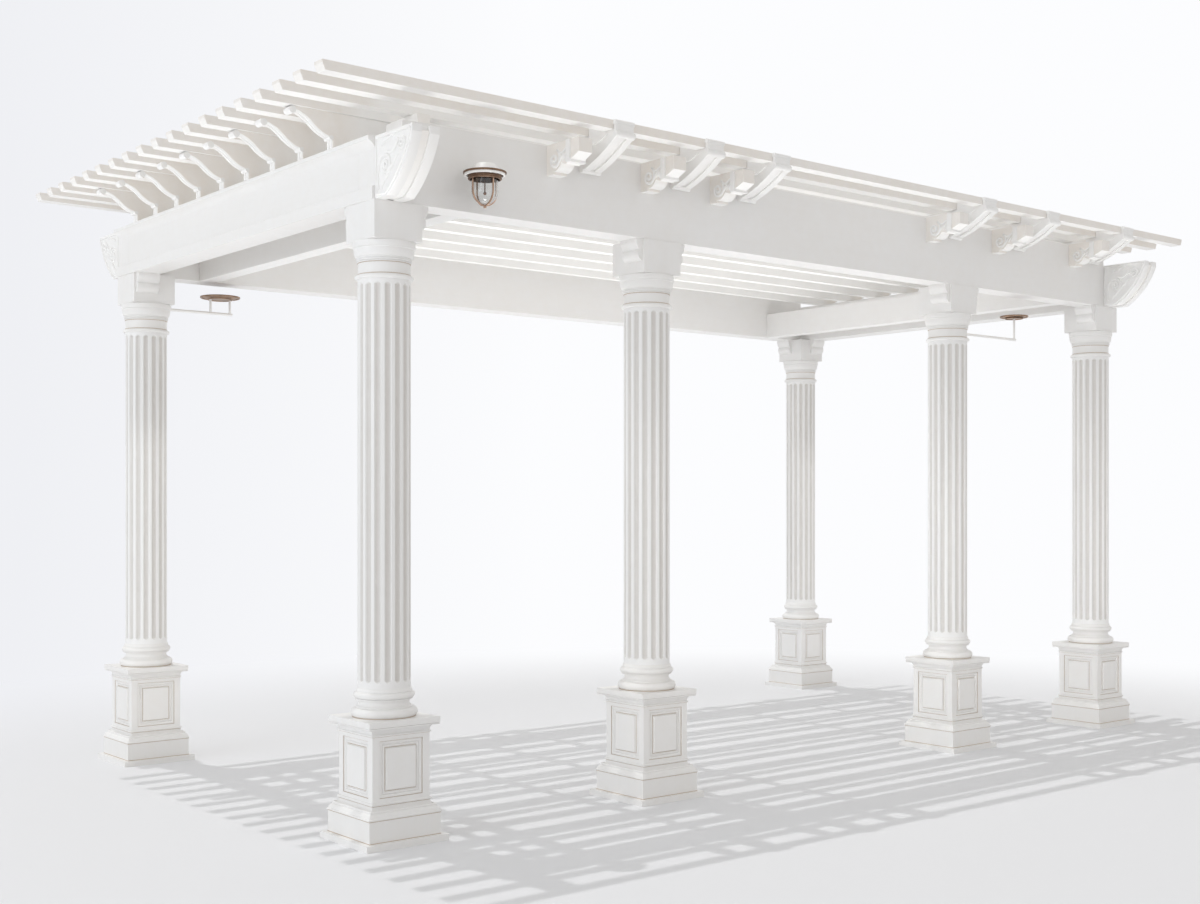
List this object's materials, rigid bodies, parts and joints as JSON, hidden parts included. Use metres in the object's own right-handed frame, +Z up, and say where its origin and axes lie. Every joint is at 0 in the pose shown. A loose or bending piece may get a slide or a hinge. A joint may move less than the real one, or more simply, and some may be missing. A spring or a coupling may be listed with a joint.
{
  "type": "garden pergola",
  "caption": "Free-standing white column pergola: panelled pedestals, fluted columns, tall beams with scroll brackets and consoles, and an open slatted roof to shade a terrace",
  "frame": {"origin": "on the ground under the middle of the roof", "axes": "X along the length to the right seen from the front, Y from front to rear, Z up"},
  "size_m": [5.688, 3.044, 2.852],
  "materials": {
    "column_paint": "painted satin",
    "beam_paint": "painted satin",
    "ornament_paint": "painted satin",
    "roof_paint": "painted matt",
    "bronze": "aged bronze",
    "lantern_glass": "clear"
  },
  "bodies": {
    "root": {"pedestal_1": "column_paint", "pedestal_2": "column_paint", "pedestal_3": "column_paint", "pedestal_4": "column_paint", "pedestal_5": "column_paint", "pedestal_6": "column_paint", "shaft_1": "column_paint", "shaft_2": "column_paint", "shaft_3": "column_paint", "shaft_4": "column_paint", "shaft_5": "column_paint", "shaft_6": "column_paint", "column_bases": "column_paint", "capitals": "column_paint", "impost_blocks": "column_paint", "front_beam": "beam_paint", "rear_beam": "beam_paint", "left_end_beam": "beam_paint", "right_end_beam": "beam_paint", "left_end_mouldings": "beam_paint", "right_end_mouldings": "beam_paint", "left_inner_beam": "beam_paint", "right_inner_beam": "beam_paint", "console_front_left": "ornament_paint", "console_front_right": "ornament_paint", "console_rear_left": "ornament_paint", "console_rear_right": "ornament_paint", "front_scrolls": "ornament_paint", "rear_scrolls": "ornament_paint", "front_straps": "ornament_paint", "rear_straps": "ornament_paint", "joists": "roof_paint", "battens": "roof_paint", "slats": "roof_paint", "lantern_canopy": "beam_paint", "lantern_cage": "bronze", "lantern_globe": "lantern_glass", "dish_lamp_rear": "bronze", "dish_lamp_front": "bronze"}
  },
  "joints": []
}
